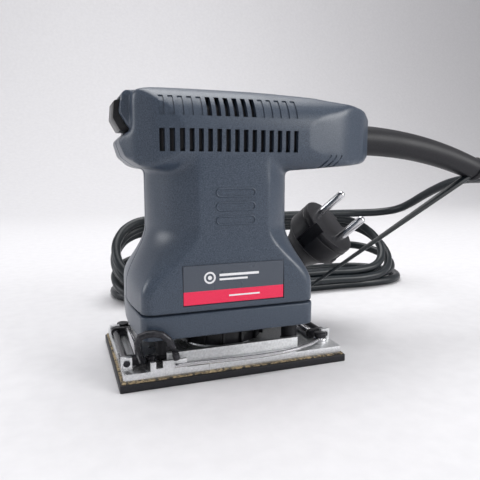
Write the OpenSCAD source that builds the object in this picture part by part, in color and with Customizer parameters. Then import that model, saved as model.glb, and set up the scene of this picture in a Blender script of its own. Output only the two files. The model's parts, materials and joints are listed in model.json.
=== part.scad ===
// Mini orbital sander: vertical motor, eccentric crank, orbiting platen, paper clamps and mains lead.
// Origin at the centre of the sanding face, +X towards the cord, +Z up, sizes in millimetres.

/* [Sanding pad and platen] */
// Length of the rubber pad
pad_l = 110; // [104:1:134]
// Width of the rubber pad
pad_w = 72; // [70:1:88]
// Thickness of the rubber pad
pad_h = 3.4; // [2.5:0.1:5]
// Thickness of the bonding layer between pad and platen
backing_h = 0.7; // [0.3:0.1:1.2]
// Thickness of the platen flange
flange_h = 3.3; // [2.5:0.1:4]
// Distance that the platen edge stands back from the pad edge
flange_inset = 1.7; // [0.5:0.1:3]
// Height of the platen's stiffening wall
rib_h = 4.9; // [2:0.1:5.6]

/* [Drive] */
// Orbit radius of the platen
orbit_r = 0.75; // [0.5:0.05:1.2]
// Diameter of the motor shaft
shaft_d = 8; // [7:0.5:9]
// Outer diameter of the motor bearings
motor_bearing_d = 22; // [20:0.5:24]
// Width of the motor bearings
motor_bearing_h = 7; // [6:0.5:8]
// Diameter of the crank pin
pin_d = 10; // [9:0.5:11]
// Outer diameter of the platen bearing
pad_bearing_d = 26; // [25:0.5:28]
// Width of the platen bearing
pad_bearing_h = 8; // [7:0.5:9]
// Diameter of the armature core
armature_d = 30; // [26:0.5:31]
// Length of the armature core and of the field core
core_h = 30; // [25:1:32]
// Diameter of the fan
fan_d = 50; // [40:1:53]
// Air gap round the armature
air_gap = 0.6; // [0.4:0.1:1]

/* [Housing] */
// Wall thickness of the housing
wall = 2.6; // [2:0.1:3]
// Radius of the motor column
column_r = 35.2; // [34:0.1:37]
// Half width across the flats of the motor column
column_flat = 31; // [30.5:0.1:33]
// Half width of the grip
grip_half = 31.5; // [30.8:0.1:34]
// Half width of the lower body
base_half = 33; // [32:0.1:34]
// Height of the lower edge of the housing
base_z = 31.8; // [31.5:0.1:33]
// Height of the lower edge of the skirt
skirt_z = 20.2; // [19.8:0.1:22]
// Open groove between housing and skirt
groove = 0.8; // [0.4:0.1:1.2]
// Number of slots in a row of vents
slot_count = 16; // [8:1:18]
// Width of a vent slot
slot_w = 2.2; // [1.5:0.1:2.6]
// Diameter of the shell screws
shell_screw_d = 3.5; // [3:0.1:4]

/* [Paper clamps] */
// Diameter of the clamp wires
wire_d = 3; // [2.5:0.1:3.4]
// Diameter of the clamp roller
roller_d = 4.4; // [3.6:0.1:5]
// Width of the clamp lever's strip
lever_w = 3.2; // [2.4:0.1:4]
// Diameter of the tension spring wire
spring_d = 1.8; // [1.2:0.1:2.2]

/* [Mains lead] */
// Diameter of the cord
cord_d = 6.6; // [6:0.1:7]
// Diameter of the cord guard where it enters the housing
guard_d1 = 16.4; // [14:0.1:18]
// Diameter of the cord guard at its end
guard_d2 = 13.2; // [11:0.1:14]
// Diameter of the plug's face
plug_d = 37; // [35:0.5:39]
// Length of the plug pins
plug_pin_l = 19; // [18:0.5:20]

/* [Hidden] */
$fn = 64;

slate = [0.27, 0.30, 0.36];
steel = [0.62, 0.63, 0.65];
black = [0.07, 0.07, 0.08];
copper = [0.72, 0.38, 0.18];
alloy = [0.80, 0.80, 0.78];

far = 200;
skin = 0.05;
run = 0.05;
axis_x = -orbit_r;
half_l = pad_l / 2;
half_w = pad_w / 2;

// Levels, from the sanding face up
backing_z = pad_h;
flange_z = backing_z + backing_h;
deck_z = flange_z + flange_h;
pad_bearing_z = deck_z + 2.4;
platen_boss_d = pad_bearing_d + 8;
floor_t = 2.5;
floor_z = skirt_z + 0.8;
floor_bore = fan_d - 4;
fan_z = floor_z + 5.5;
fan_h = 8;
bridge_z = base_z + 7.2;
bridge_t = 3;
lower_bearing_z = bridge_z - 1;
core_z = 52;
winding_h = 6;
commutator_d = 18;
commutator_h = 10;
commutator_z = core_z + core_h + winding_h + 2.5;
carrier_t = 2.6;
carrier_z = 112.4;
upper_bearing_z = 104.4;
cup_wall = 2.5;
cup_z = 102.4;
brush_plate_t = 2;
brush_plate_z = cup_z - brush_plate_t;
field_r = armature_d / 2 + air_gap + 10.2;
sleeve_t = 2;
shaft_top = upper_bearing_z + motor_bearing_h;

// Bearings: bore, outside diameter, ball circle, ball diameter
motor_ball_d = 3.9;
motor_ball_circle = (shaft_d + motor_bearing_d) / 2 + 0.3;
pad_ball_d = 4.6;
pad_ball_circle = (pin_d + pad_bearing_d) / 2;
ball_run = 0.1;
ball_count = 7;

// Rubber legs between the skirt floor and the platen
leg_spots = [for (x = [-32.8, 31.3], y = [-20, 20]) [x, y]];
leg_d = 8;
leg_lip = 0.5;
leg_gap = 1.1;

// Switch in the nose
pivot_x = -44.6;
pivot_z = 118.6;
window_z0 = 111.2;
window_z1 = 126.6;
window_half = 10.6;
rocker_half = window_half - 0.5;
rocker_pin_d = 3;

// Screws that join the housing halves: [x, z]
shell_bosses = [[-21.5, 124], [22, 123.5], [68, 120.2], [48, 101.6], [-38, 49.5], [29.3, 47.5]];
boss_d = 7;
head_d = 6.4;
head_h = 3;
post_x = 20.75;
post_y = 27;
post_r = 3.5;
skirt_screw_z = base_z + 10;

// Clamps
pivot_bar_x = -half_l + 4;
pivot_ring_r = wire_d / 2 + 0.8;
pivot_bar_z = deck_z + pivot_ring_r + 0.3;
roller_x = pivot_bar_x + 6.4;
roller_z = deck_z + 0.3 + roller_d / 2;
clamp_y0 = -26;
clamp_y1 = 20;
lever_y = flange_inset - half_w - 0.4;
eye_x = 46.3;
eye_y = -25.5;
stop_x = -39.8;
stop_y = -24;
stop_r = 2.4;
tab_x0 = -41.6;
tab_x1 = -25.3;
tab_t = 1.4;
tab_notch = [-39.1, -36.1];

// Cord guard: an arc from the rear of the grip, and the clamp inside it
clamp_x = 61;
guard_x = 80;
guard_z = 110.54;
guard_r = 250;
guard_a0 = 0.62;
guard_a1 = 21;
guard_root = 7;
inner_a = -5;
guard_c = [guard_x - guard_r * sin(guard_a0), guard_z - guard_r * cos(guard_a0)];
clamp_z = guard_c.y + guard_r - cord_d / 2 - 3.6;
function guard_at(a) = [guard_c.x + guard_r * sin(a), 0, guard_c.y + guard_r * cos(a)];

// Free cord from the guard to the coil, and from the coil to the plug
cord_route = [
    [173, 1, 91.7], [184, 5, 89.5], [195, 12.5, 88.5], [204, 24, 88.2], [209, 38, 88.2], [209, 52, 87.4],
    [206.5, 64, 84.6], [204, 76, 79.6], [201.5, 88, 73.4], [199, 99, 67], [195.5, 110, 61.6], [187, 121, 58.4],
    [172, 129, 57.2], [150, 132.5, 57], [120, 133, 57], [80, 133, 57]
];
lead_route = [[10, 103, 3.5], [24, 101, 3.7], [34, 95, 5], [41, 86, 7.7], [45.5, 75, 11.2], [47.5, 64.5, 15.6]];
plug_face = [77, 20, 61.5];
plug_axis = [0.458, -0.586, 0.662];
plug_tilt = 48.6;
plug_turn = -52;
plug_l = 52;
plug_pin_d = 4.8;
pin_x = 9.5;
pin_root_d = 4;
pin_root_l = 10;

// Coil: near and far strands of the ring of turns
coil_x0 = -43;
coil_x1 = 206;
coil_y0 = 86.2;
coil_y1 = 166.4;

// ---- helpers: points -------------------------------------------------------------------------

function unit(v) = v / norm(v);
function cross2(u, v) = u.x * v.y - u.y * v.x;
function flat(v) = [v.x, v.y];

// Rounds the corner at b, given as [x, y, radius], between its neighbours a and c.
function corner(a, b, c, steps) =
    let (u = unit(flat(a) - flat(b)), v = unit(flat(c) - flat(b)), half = acos(u * v) / 2)
    let (reach = min(b.z / tan(half), 0.49 * min(norm(flat(a) - flat(b)), norm(flat(c) - flat(b)))))
    let (r = reach * tan(half), mid = flat(b) + unit(u + v) * r / sin(half))
    let (p = flat(b) + u * reach - mid, q = flat(b) + v * reach - mid)
    let (a0 = atan2(p.y, p.x), turn = (atan2(q.y, q.x) - a0 + 540) % 360 - 180)
    [for (i = [0:steps]) mid + r * [cos(a0 + turn * i / steps), sin(a0 + turn * i / steps)]];

function rounded(points, steps = 5) =
    let (n = len(points))
    [for (i = [0:n - 1])
        let (b = points[i])
        each b.z > 0 ? corner(points[(i + n - 1) % n], b, points[(i + 1) % n], steps) : [flat(b)]];

// Moves the edges of an anticlockwise outline inwards by d.
function shrunk(points, d) =
    let (n = len(points))
    [for (i = [0:n - 1])
        let (b = points[i], e = unit(flat(b) - flat(points[(i + n - 1) % n])))
        let (f = unit(flat(points[(i + 1) % n]) - flat(b)), side = cross2(e, f) > 0 ? 1 : -1)
        let (m = [-e.y - f.y, e.x + f.x] / (1 + e * f))
        [b.x + d * m.x, b.y + d * m.y, b.z > 0 ? max(b.z - side * d, 0.4) : 0]];

function mirrored(half) = concat(half, [for (i = [len(half) - 1:-1:0]) [-half[i].x, half[i].y, half[i].z]]);
function box_outline(x0, x1, y0, y1, r) = [[x0, y0, r], [x1, y0, r], [x1, y1, r], [x0, y1, r]];

// ---- helpers: solids -------------------------------------------------------------------------

module along_y(points, half = far / 2) {
    rotate([90, 0, 0])
        linear_extrude(2 * half, center = true)
            polygon(points);
}

module along_x(points, half = far) {
    rotate([90, 0, 90])
        linear_extrude(2 * half, center = true)
            polygon(points);
}

module slab(points, z0, z1) {
    translate([0, 0, z0])
        linear_extrude(z1 - z0)
            polygon(points);
}

module tube_z(r1, r0, z0, z1, x = axis_x, y = 0) {
    translate([x, y, z0])
        difference() {
            cylinder(r = r1, h = z1 - z0);
            translate([0, 0, -1])
                cylinder(r = r0, h = z1 - z0 + 2);
        }
}

module rod_z(r, z0, z1, x = axis_x, y = 0) {
    translate([x, y, z0])
        cylinder(r = r, h = z1 - z0);
}

module rod_y(r, x, z, y0, y1) {
    translate([x, y1, z])
        rotate([90, 0, 0])
            cylinder(r = r, h = y1 - y0);
}

// A sweep of round rings along a path; r gives one radius for each point.
module sweep(path, r, sides = 8) {
    last = len(path) - 1;
    dirs = [for (i = [0:last]) unit(path[min(i + 1, last)] - path[max(i - 1, 0)])];
    side = [for (i = [0:last]) unit(cross(dirs[i], abs(dirs[i].z) > 0.95 ? [0, 1, 0] : [0, 0, 1]))];
    rings = [for (i = [0:last]) for (k = [0:sides - 1])
        path[i] + r[i] * (side[i] * cos(360 * k / sides) + cross(dirs[i], side[i]) * sin(360 * k / sides))];
    walls = [for (i = [0:last - 1]) for (k = [0:sides - 1])
        let (a = i * sides + k, b = i * sides + (k + 1) % sides)
        each [[a, a + sides, b], [b, a + sides, b + sides]]];
    ends = [[for (k = [0:sides - 1]) k], [for (k = [sides - 1:-1:0]) last * sides + k]];
    polyhedron(rings, concat(walls, ends));
}

function same(path, r) = [for (p = path) r];

// ---- housing ---------------------------------------------------------------------------------

grip_side = [
    [-30, 94, 0], [31, 94, 0], [44, 95.1, 20], [67, 96.9, 10], [75, 98, 5], [81.2, 102.6, 5],
    [81.2, 119.4, 6], [74.5, 123.8, 8], [60, 126, 40], [40, 128.5, 60], [12, 130.2, 60], [-14, 130.4, 60],
    [-33, 130.1, 10], [-44.4, 129, 4], [-44.4, 112, 1], [-49.9, 107.4, 2.5], [-47.4, 100.2, 4], [-41, 95.6, 6]
];
grip_section = mirrored([[grip_half, 94, 11], [grip_half, 131, 24]]);
grip_plan_half = [
    [-50.5, -12, 4], [-44.4, -20, 6], [-36, -27.5, 12], [-24, -31.9, 20], [32, -31.9, 60],
    [56, -29, 40], [70, -22.5, 14], [79, -13, 7], [82, -8, 2]
];
grip_plan = concat(grip_plan_half, [for (i = [len(grip_plan_half) - 1:-1:0])
    [grip_plan_half[i].x, -grip_plan_half[i].y, grip_plan_half[i].z]]);
bezel_side = [[-45.2, 113.4, 0.8], [-38, 113, 0], [-38, 129.5, 0], [-47.5, 128.8, 2.2], [-49, 119.8, 1.5]];
bezel_half = 15;

function shield(low) = [
    [-46.9, low, 0], [40.6, low, 0], [40.2, 43, 8], [30.5, 53, 12], [21, 60.5, 8], [13, 66, 0],
    [-16, 66, 0], [-24, 63, 8], [-35.5, 58.5, 12], [-43, 52, 8], [-46, 44.5, 8]
];
function shield_section(low) = mirrored([
    [base_half, low, 0], [base_half, 50, 10], [column_flat, 61, 8], [column_flat, 70, 0]
]);
base_outline = [
    [-44.4, -base_half, 5], [38.6, -base_half, 5], [41, 0, 160],
    [38.6, base_half, 5], [-44.4, base_half, 5], [-47.2, 0, 160]
];

module grip_solid(d) {
    intersection() {
        along_y(rounded(shrunk(grip_side, d)), 40);
        along_x(rounded(shrunk(grip_section, d), 8));
        slab(rounded(shrunk(grip_plan, d)), 80, 140);
    }
}

module column_solid(d, low) {
    intersection() {
        rod_z(column_r - d, low, 104, axis_x - 0.65);
        translate([-far / 2, -column_flat + d, 0])
            cube([far, 2 * (column_flat - d), far]);
    }
}

module base_solid(d, low) {
    intersection() {
        along_y(rounded(shrunk(shield(low), d)), 40);
        along_x(rounded(shrunk(shield_section(low), d)));
        slab(rounded(shrunk(base_outline, d)), low, 80);
    }
}

module body_solid(d, low) {
    grip_solid(d);
    column_solid(d, low);
    base_solid(d, low);
}

module slots() {
    first = -34.3;
    pitch = (29.3 - first - slot_w) / (slot_count - 1);
    open_from = round(slot_count / 2) - 3;
    for (side = [-1, 1], i = [0:slot_count - 1])
        translate([first + i * pitch, side > 0 ? 22 : -42, 0]) {
            translate([0, 0, 102.3])
                cube([slot_w, 20, 9.7]);
            if (i >= open_from && i < open_from + 6)
                translate([0, 0, 117.5])
                    cube([slot_w, 20, 8.4]);
        }
}

module switch_window() {
    translate([-54, -window_half, window_z0])
        cube([18, 2 * window_half, window_z1 - window_z0]);
}

module label_recess(side, extra) {
    translate([-2.05, side * base_half, 43.8])
        rotate([90, 0, 0])
            linear_extrude(2 * (0.9 + extra), center = true)
                square([48.3, 17.8], center = true);
}

module shell() {
    difference() {
        union() {
            body_solid(0, base_z);
            along_y(rounded(bezel_side), bezel_half);
        }
        body_solid(wall, base_z - 6);
        slots();
        switch_window();
        label_recess(-1, 0);
        label_recess(1, 0);
        translate([guard_x - 12, 0, guard_z])
            rotate([0, 90, 0])
                cylinder(d = guard_d1 + 0.4, h = 30);
    }
}

module ledge() {
    intersection() {
        tube_z(column_r + 1, column_r - 8, bridge_z - 3, bridge_z);
        body_solid(wall / 2, base_z);
    }
}

module field_ribs() {
    for (x = [-18, 18], side = [-1, 1])
        translate([axis_x + x - 1.25, side > 0 ? 10 : -column_flat + wall / 2, core_z - 2])
            cube([2.5, column_flat - wall / 2 - 10, brush_plate_z - core_z + 2]);
}

// Pedestal under the cord clamp.
module cord_seat() {
    translate([clamp_x - 4.5, -8.5, 98.6])
        cube([9, 17, clamp_z - 98.6]);
}

module base_posts(z0, z1) {
    for (x = [-post_x, post_x], y = [-post_y, post_y])
        rod_z(post_r, z0, z1, axis_x + x, y);
}

module base_holes(r, z0, z1) {
    for (x = [-post_x, post_x], y = [-post_y, post_y])
        rod_z(r, z0, z1, axis_x + x, y);
}

module bosses(side) {
    for (b = shell_bosses)
        intersection() {
            rod_y(boss_d / 2, b.x, b.y, side > 0 ? 0 : -30, side > 0 ? 30 : 0);
            body_solid(wall / 2, base_z);
        }
}

// The shell with its ribs; side is -1 for the front half and +1 for the back half.
module housing_half(side) {
    difference() {
        union() {
            shell();
            ledge();
            difference() {
                field_ribs();
                rod_z(field_r + skin, 0, core_z + core_h + winding_h + 1);
            }
            base_posts(base_z + 2.6, base_z + 15);
            cord_seat();
            bosses(side);
        }
        translate([-far / 2, side > 0 ? -far : 0, 0])
            cube([far, far, far]);
        for (b = shell_bosses) {
            rod_y(shell_screw_d / 2, b.x, b.y, -12, side > 0 ? 40 : 0);
            rod_y(head_d / 2 + 0.2, b.x, b.y, 9, 40);
        }
        base_holes(shell_screw_d / 2, 0, skirt_screw_z);
    }
}

module housing_front() {
    color(slate)
        housing_half(-1);
}

module housing_back() {
    color(slate)
        housing_half(1);
}

module base_skirt() {
    lip = wall + 0.15;
    lip_t = 1.8;
    top = base_z - groove;
    color(slate)
        difference() {
            union() {
                slab(rounded(base_outline), skirt_z, top);
                slab(rounded(shrunk(base_outline, lip)), top - 1, base_z + 2.4);
            }
            slab(rounded(shrunk(base_outline, wall)), skirt_z - 1, floor_z);
            difference() {
                slab(rounded(shrunk(base_outline, lip + lip_t)), floor_z + floor_t, base_z + 5);
                base_posts(floor_z, base_z + 2.4);
            }
            rod_z(floor_bore / 2, 0, far);
            base_holes(shell_screw_d / 2, 0, far);
            for (p = leg_spots)
                rod_z(2, 0, far, p.x, p.y);
        }
}

module shell_screws() {
    color(steel)
        for (b = shell_bosses)
            difference() {
                union() {
                    rod_y(head_d / 2, b.x, b.y, 9, 9 + head_h);
                    rod_y(shell_screw_d / 2, b.x, b.y, -10, 9.5);
                }
                translate([b.x, 9 + head_h, b.y])
                    rotate([90, 0, 0])
                        cylinder(r = 1.4, h = 3.4, center = true, $fn = 6);
            }
}

module skirt_screws() {
    color(steel)
        for (x = [-post_x, post_x], y = [-post_y, post_y]) {
            rod_z(head_d / 2, floor_z - 1, floor_z, axis_x + x, y);
            rod_z(shell_screw_d / 2, floor_z - 0.5, skirt_screw_z - 1, axis_x + x, y);
        }
}

module front_label() {
    color([0.16, 0.17, 0.20])
        translate([-2.05, -base_half + 0.6, 46.8])
            cube([48, 0.6, 11.6], center = true);
}

module label_stripe() {
    color([0.93, 0.02, 0.25])
        translate([-2.05, -base_half + 0.6, 38])
            cube([48, 0.6, 6], center = true);
}

module rating_plate() {
    color([0.75, 0.76, 0.78])
        translate([-2.05, base_half - 0.6, 43.8])
            cube([48, 0.6, 17.5], center = true);
}

// ---- motor, fixed parts ----------------------------------------------------------------------

module bearing_carrier() {
    cup_r = motor_bearing_d / 2 + sleeve_t + cup_wall;
    color(slate)
        difference() {
            union() {
                intersection() {
                    translate([-26, -far / 2, carrier_z])
                        cube([50, far, carrier_t]);
                    grip_solid(wall + skin);
                }
                rod_z(cup_r, cup_z, carrier_z + 1);
            }
            rod_z(cup_r - cup_wall, cup_z - 1, carrier_z);
        }
}

module bearing_sleeve() {
    color(black)
        tube_z(motor_bearing_d / 2 + sleeve_t, motor_bearing_d / 2, upper_bearing_z,
            upper_bearing_z + motor_bearing_h);
}

module bearing_bridge() {
    hub_r = motor_bearing_d / 2 + 3;
    color(alloy)
        difference() {
            union() {
                rod_z(base_half - wall - 0.4, bridge_z, bridge_z + bridge_t);
                rod_z(hub_r, lower_bearing_z - 2, lower_bearing_z + motor_bearing_h);
            }
            rod_z(motor_bearing_d / 2, lower_bearing_z, far);
            rod_z(motor_bearing_d / 2 - 2.5, 0, far);
            for (a = [45:90:315])
                translate([axis_x, 0, 0])
                    rotate(a)
                        translate([hub_r + 5.5, 0, bridge_z - 1])
                            cylinder(r = 4.5, h = 5);
        }
}

module field_core() {
    color(steel)
        tube_z(field_r, armature_d / 2 + air_gap, core_z, core_z + core_h);
}

module field_coils() {
    inner = armature_d / 2 + air_gap + 1.2;
    color(copper)
        for (z = [core_z - winding_h, core_z + core_h], a = [0, 180])
            intersection() {
                tube_z(field_r - 2, inner, z, z + winding_h);
                translate([axis_x, 0, 0])
                    rotate(a)
                        translate([-far / 2, 4, 0])
                            cube([far, far, far]);
            }
}

module brush_plate() {
    color([0.45, 0.26, 0.12])
        tube_z(field_r, commutator_d / 2 + 3, brush_plate_z, cup_z);
}

brush_z = commutator_z + 1.5;

module brush_holders() {
    color([0.80, 0.66, 0.30])
        for (side = [-1, 1])
            translate([axis_x + side * 19, 0, 0])
                difference() {
                    translate([0, 0, (brush_z + brush_plate_z) / 2])
                        cube([14, 9, brush_plate_z - brush_z], center = true);
                    translate([0, 0, brush_z + 4])
                        cube([16, 6.1, 5.1], center = true);
                }
}

module carbon_brushes() {
    color([0.15, 0.15, 0.16])
        for (side = [-1, 1])
            difference() {
                translate([axis_x + side * 15, 0, brush_z + 4])
                    cube([14, 6, 5], center = true);
                rod_z(commutator_d / 2 + run, 0, far);
            }
}

module ring_race(bore, outer, circle, ball, width, inside) {
    difference() {
        if (inside)
            cylinder(d = circle - ball * 0.6, h = width);
        else
            difference() {
                cylinder(d = outer, h = width);
                translate([0, 0, -1])
                    cylinder(d = circle + ball * 0.6, h = width + 2);
            }
        translate([0, 0, -1])
            cylinder(d = bore, h = width + 2);
        translate([0, 0, width / 2])
            rotate_extrude()
                translate([circle / 2, 0])
                    circle(r = ball / 2 + ball_run, $fn = 32);
    }
}

module ball_set(circle, ball, width) {
    translate([0, 0, width / 2]) {
        for (i = [0:ball_count - 1])
            rotate(i * 360 / ball_count)
                translate([circle / 2, 0, 0])
                    sphere(d = ball, $fn = 24);
        difference() {
            cylinder(d = circle + 0.9, h = 1, center = true);
            cylinder(d = circle - 0.9, h = 3, center = true);
        }
    }
}

module motor_bearing_outers() {
    color(steel)
        for (z = [lower_bearing_z, upper_bearing_z])
            translate([axis_x, 0, z])
                ring_race(1, motor_bearing_d, motor_ball_circle, motor_ball_d, motor_bearing_h, false);
}

module motor_bearing_inners() {
    color(steel)
        for (z = [lower_bearing_z, upper_bearing_z])
            translate([axis_x, 0, z])
                ring_race(shaft_d, motor_bearing_d, motor_ball_circle, motor_ball_d, motor_bearing_h, true);
}

module upper_ball_cage() {
    color(alloy)
        translate([axis_x, 0, upper_bearing_z])
            ball_set(motor_ball_circle, motor_ball_d, motor_bearing_h);
}

module lower_ball_cage() {
    color(alloy)
        translate([axis_x, 0, lower_bearing_z])
            ball_set(motor_ball_circle, motor_ball_d, motor_bearing_h);
}

module suppressor_capacitor() {
    color([0.85, 0.72, 0.15])
        translate([31.6, -8, 97.9])
            cube([12.4, 16, 8]);
}

// ---- motor, turning parts --------------------------------------------------------------------

crank_z = pad_bearing_z + pad_bearing_h + 1.3;

module motor_shaft() {
    color(steel) {
        rod_z(shaft_d / 2, crank_z + 1, shaft_top);
        rod_z(8, crank_z, crank_z + 4.4);
        rod_z(pin_d / 2, pad_bearing_z, crank_z + 1, 0);
    }
}

module armature_core() {
    color(steel)
        difference() {
            tube_z(armature_d / 2, shaft_d / 2, core_z, core_z + core_h);
            for (i = [0:11])
                translate([axis_x, 0, core_z - 1])
                    rotate(i * 30)
                        translate([armature_d / 2, 0, 0])
                            cube([3, 1.6, 2 * core_h + 4], center = true);
        }
}

module armature_windings() {
    color(copper)
        for (z = [core_z - winding_h, core_z + core_h])
            tube_z(armature_d / 2 - 1.8, shaft_d / 2, z, z + winding_h);
}

module commutator() {
    color(copper)
        difference() {
            tube_z(commutator_d / 2, shaft_d / 2, commutator_z, commutator_z + commutator_h);
            for (i = [0:11])
                translate([axis_x, 0, commutator_z + commutator_h / 2 + 1])
                    rotate(i * 30)
                        translate([commutator_d / 2, 0, 0])
                            cube([1.4, 0.5, commutator_h + 1], center = true);
        }
}

module cooling_fan() {
    color([0.85, 0.86, 0.88]) {
        tube_z(fan_d / 2, shaft_d / 2, fan_z, fan_z + 1.5);
        tube_z(7, shaft_d / 2, fan_z, fan_z + fan_h);
        for (i = [0:11])
            translate([axis_x, 0, fan_z + 1])
                rotate(i * 30)
                    translate([fan_d / 2 - 14, -0.6, 0])
                        cube([13.2, 1.2, fan_h - 1]);
    }
}

module counterweight() {
    color(alloy)
        intersection() {
            tube_z(fan_d / 2 - 5, shaft_d / 2, fan_z - 2.6, fan_z);
            translate([axis_x - far, -far / 2, 0])
                cube([far, far, far]);
        }
}

module pad_bearing_inner() {
    color(steel)
        translate([0, 0, pad_bearing_z])
            ring_race(pin_d, pad_bearing_d, pad_ball_circle, pad_ball_d, pad_bearing_h, true);
}

module pad_ball_cage() {
    color(alloy)
        translate([0, 0, pad_bearing_z])
            ball_set(pad_ball_circle, pad_ball_d, pad_bearing_h);
}

// ---- switch and cord entry -------------------------------------------------------------------

module switch_body() {
    color(black)
        difference() {
            translate([pivot_x + 3, -window_half + 0.6, window_z0 + 0.4])
                cube([14, 2 * window_half - 1.2, window_z1 - window_z0 - 0.8]);
            rod_y(9.6, pivot_x, pivot_z, -rocker_half - 0.2, rocker_half + 0.2);
        }
    color(black)
        for (side = [-1, 1])
            difference() {
                translate([pivot_x + 1.5, side * (rocker_half + 0.25), pivot_z])
                    cube([8, 0.4, 8], center = true);
                rod_y(rocker_pin_d / 2 + run, pivot_x, pivot_z, -far, far);
            }
}

rocker_side = [
    [-43, 111.9, 0.5], [-48.4, 111.9, 0.8], [-51.4, 117.4, 2.5], [-50.7, 124.9, 0.8], [-46.5, 126, 0.5],
    [-38.5, 122, 1], [-38.5, 115.4, 1]
];

module switch_rocker() {
    points = rounded([for (i = [len(rocker_side) - 1:-1:0]) rocker_side[i]]);
    color(black)
        intersection() {
            along_y(points, rocker_half - 0.3);
            rod_y(8.6, pivot_x, pivot_z, -rocker_half, rocker_half);
        }
    color(black)
        rod_y(rocker_pin_d / 2, pivot_x, pivot_z, -rocker_half - 0.4, rocker_half + 0.4);
}

module cord_clamp() {
    z = guard_at(0).z;
    color(black)
        difference() {
            translate([clamp_x - 5, -9, clamp_z])
                cube([10, 18, cord_d + 6]);
            translate([clamp_x - 8, 0, z])
                rotate([0, 90, 0])
                    cylinder(d = cord_d, h = 16);
            for (y = [-6.3, 6.3])
                rod_z(1.4, 0, far, clamp_x, y);
        }
}

module cord_clamp_screws() {
    top = guard_at(0).z + cord_d / 2 + 2.4;
    color(steel)
        for (y = [-6.3, 6.3]) {
            rod_z(2.5, top, top + 1.6, clamp_x, y);
            rod_z(1.35, top - 11, top + 0.5, clamp_x, y);
        }
}

module cord_guard() {
    steps = 12;
    angles = [for (i = [0:steps]) guard_a0 + (guard_a1 - guard_a0) * i / steps];
    path = [for (a = angles) guard_at(a)];
    radii = [for (i = [0:steps]) (guard_d1 + (guard_d2 - guard_d1) * i / steps) / 2];
    tip = guard_at(guard_a1);
    color(black) {
        difference() {
            sweep(path, radii, 24);
            sweep(concat([guard_at(-3)], path, [guard_at(guard_a1 + 1)]),
                same(concat([0, 0], path), cord_d / 2 + 0.2), 12);
        }
        translate(tip)
            rotate([0, 90 + guard_a1, 0])
                translate([0, 0, -3.4])
                    difference() {
                        cylinder(d = guard_d2 + 1.9, h = 3.6);
                        translate([0, 0, -1])
                            cylinder(d = guard_d2 - 2, h = 6);
                    }
        translate([guard_x - guard_root, 0, guard_at(guard_a0).z])
            rotate([0, 90, 0])
                difference() {
                    union() {
                        cylinder(d = guard_d1 + 2.4, h = 1.8);
                        cylinder(d = guard_d1, h = guard_root + 0.8);
                    }
                    translate([0, 0, -1])
                        cylinder(d = cord_d + 0.6, h = guard_root + 4);
                }
    }
}

module inner_cord() {
    path = [for (a = [inner_a:2:guard_a1]) guard_at(a)];
    color(black)
        sweep(concat(path, [guard_at(guard_a1)]), same(concat(path, [0]), cord_d / 2 - 0.1), 12);
}

module inner_leads() {
    for (side = [-1, 1]) {
        path = [
            guard_at(inner_a) + [0, side * 1.6, 0], [52, side * 3, 113], [34, side * 4, 116.6],
            [10, side * 5, 117], [-12, side * 5, 117], [pivot_x + 17.6, side * 5, 118]
        ];
        color(side > 0 ? [0.1, 0.2, 0.6] : [0.4, 0.2, 0.1])
            sweep(path, same(path, 1.1), 8);
    }
}

// ---- legs ------------------------------------------------------------------------------------

module rubber_legs() {
    color(black)
        for (p = leg_spots)
            difference() {
                union() {
                    rod_z(leg_d / 2, deck_z + leg_gap, floor_z, p.x, p.y);
                    rod_z(leg_d / 2 + leg_lip, deck_z + leg_gap, deck_z + leg_gap + 1.6, p.x, p.y);
                    rod_z(leg_d / 2 + leg_lip, floor_z - 1.6, floor_z, p.x, p.y);
                }
                rod_z(1.95, floor_z - 6, far, p.x, p.y);
            }
}

module leg_screws() {
    color(steel)
        for (p = leg_spots) {
            rod_z(3.4, floor_z + floor_t, floor_z + floor_t + 2.4, p.x, p.y);
            rod_z(1.9, floor_z - 5.5, floor_z + floor_t + 0.5, p.x, p.y);
        }
}

// ---- platen ----------------------------------------------------------------------------------

flange_l = half_l - flange_inset;
flange_w = half_w - flange_inset;
rib_x = 33;
rib_t = 2.2;
rib_y = 27.6;

module platen() {
    color(alloy)
        difference() {
            union() {
                slab(rounded(box_outline(-flange_l, flange_l, -flange_w, flange_w, 0.9)), flange_z, deck_z);
                rod_z(platen_boss_d / 2, deck_z - 1, pad_bearing_z + pad_bearing_h + 0.3, 0);
                for (y = [-rib_y, rib_y - rib_t])
                    slab(rounded(box_outline(-rib_x, rib_x, y, y + rib_t, 0.9)), deck_z - 1, deck_z + rib_h);
                for (a = [0, 180])
                    rotate(a)
                        clamp_seats();
            }
            rod_z(pad_bearing_d / 2, pad_bearing_z, far, 0);
            rod_z(pad_bearing_d / 2 - 3, deck_z - 1, far, 0);
            for (a = [0, 180])
                rotate(a) {
                    rod_z(1.6, deck_z - 2.4, far, eye_x, eye_y);
                    rod_z(1.2, deck_z - 2.4, far, stop_x, stop_y);
                }
        }
}

// Ears for the left pivot bar, the hook wall of its lever and the post of its tension spring.
module clamp_seats() {
    ear_t = 2.4;
    for (y = [clamp_y0 - ear_t, clamp_y1])
        difference() {
            translate([pivot_bar_x - 2.4, y, deck_z - 0.5])
                cube([4.8, ear_t, pivot_bar_z + wire_d / 2 + 1.2 - deck_z + 0.5]);
            rod_y(wire_d / 2, pivot_bar_x, pivot_bar_z, -far, far);
        }
    difference() {
        translate([tab_x0, -flange_w, deck_z - 0.5])
            cube([tab_x1 - tab_x0, tab_t, 4.6]);
        translate([tab_notch[0], -far / 2, deck_z + 1])
            cube([tab_notch[1] - tab_notch[0], far, 6]);
    }
    rod_z(3.2, deck_z - 0.5, deck_z + 1, eye_x, eye_y);
}

module pad_backing() {
    color([0.78, 0.66, 0.44])
        slab(rounded(box_outline(-half_l + 0.8, half_l - 0.8, -half_w + 0.8, half_w - 0.8, 0.6)), backing_z, flange_z);
}

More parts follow.
